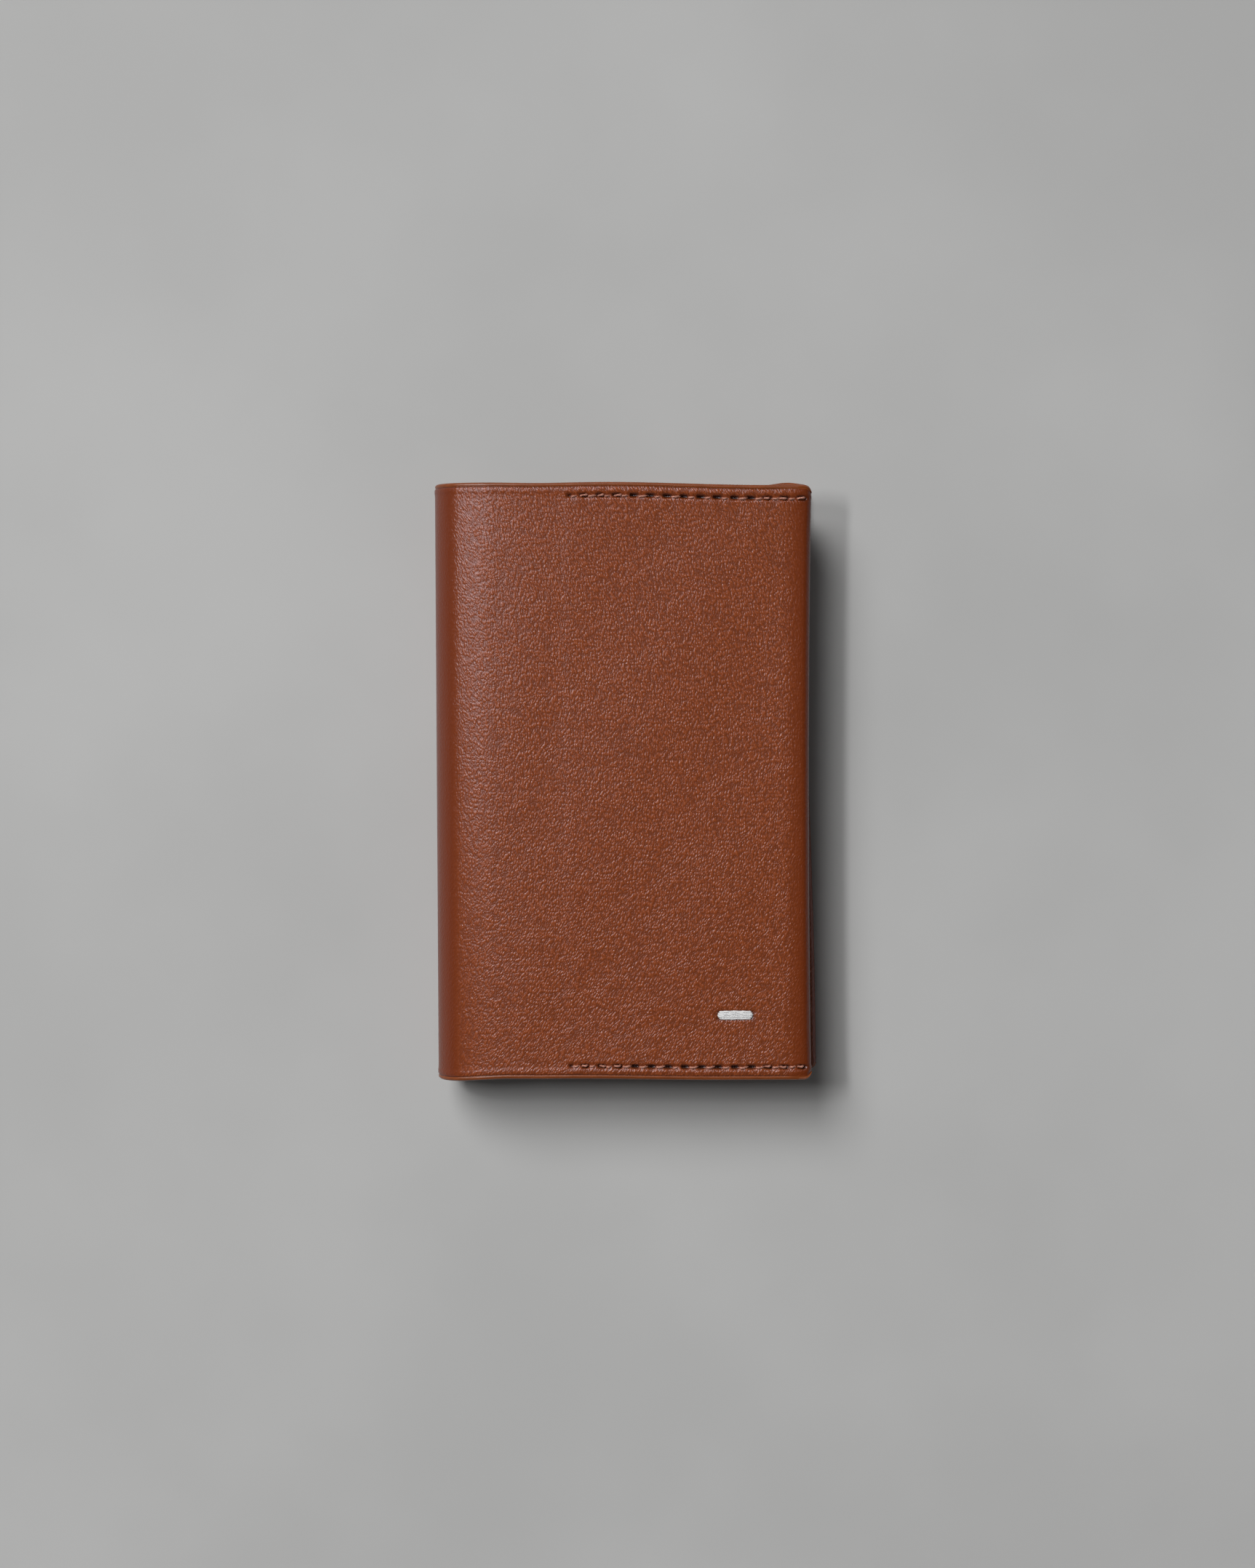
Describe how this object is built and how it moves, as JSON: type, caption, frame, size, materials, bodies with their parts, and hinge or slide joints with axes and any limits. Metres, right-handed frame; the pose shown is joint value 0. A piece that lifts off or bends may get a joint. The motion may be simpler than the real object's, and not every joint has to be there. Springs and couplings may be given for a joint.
{
  "type": "bifold card wallet",
  "caption": "Slim brown leather bifold wallet wrapped round a metal card case, with a press trigger that lifts the cards out in steps.",
  "frame": {"origin": "middle of the underside of the closed wallet", "axes": "+X from the spine to the opening edge, +Y towards the mouth of the card case, +Z out of the front cover"},
  "size_m": [0.066, 0.102, 0.0148],
  "materials": {
    "leather": "pebbled full-grain leather, satin, with painted edges",
    "suede": "split suede lining, matt, short nap",
    "thread": "waxed twisted polyester thread",
    "white_thread": "satin embroidery thread",
    "tape": "translucent acrylic foam tape",
    "aluminium": "fine-blasted dark grey anodised aluminium",
    "black_plastic": "moulded nylon, fine spark-eroded texture",
    "lever_plastic": "moulded acetal, natural",
    "steel": "ground steel",
    "black_screw": "black oxide screw",
    "spring_steel": "drawn spring wire and strip",
    "felt": "pressed wool felt",
    "magnet": "nickel-plated magnet"
  },
  "bodies": {
    "back": {"back_cover": "leather", "back_lining": "suede", "back_top_stitching": "thread", "back_bottom_stitching": "thread", "case_tape": "tape", "case_shell": "aluminium", "mouth_bezel": "black_plastic", "base_cap": "black_plastic", "case_screws": "black_screw", "lever_pin": "steel", "lever_spring": "spring_steel", "felt_pads": "felt", "card_spring": "spring_steel", "catch_plates": "steel"},
    "spine": {"spine_cover": "leather", "spine_lining": "suede"},
    "front": {"front_cover": "leather", "front_lining": "suede", "front_top_stitching": "thread", "front_bottom_stitching": "thread", "thread_mark": "white_thread", "closure_magnets": "magnet"},
    "trigger": {"trigger_button": "black_plastic"},
    "lever": {"eject_lever": "lever_plastic"}
  },
  "joints": [
    {"name": "spine_fold", "type": "hinge", "parent": "back", "child": "spine", "pos_m": [-0.03094, 0, 0.00206], "axis": [0, -1, 0], "range_deg": [0, 90]},
    {"name": "cover_fold", "type": "hinge", "parent": "spine", "child": "front", "pos_m": [-0.03068, 0, 0.01247], "axis": [0, -1, 0], "range_deg": [0, 90]},
    {"name": "lever_swing", "type": "hinge", "parent": "back", "child": "lever", "pos_m": [0.02, -0.0423, 0.007], "axis": [0, 0, -1], "range_deg": [0, 27], "stiffness_Nm_per_rad": 0.03, "springref_deg": -5.73, "deforming": ["lever_spring"]},
    {"name": "trigger_press", "type": "slide", "parent": "back", "child": "trigger", "axis": [0, 1, 0], "range_m": [0, 0.004]}
  ],
  "couplings": [
    {"joint": "spine_fold", "follows": "cover_fold", "ratio": 1},
    {"joint": "trigger_press", "follows": "lever_swing", "m_per_rad": 0.008488}
  ]
}
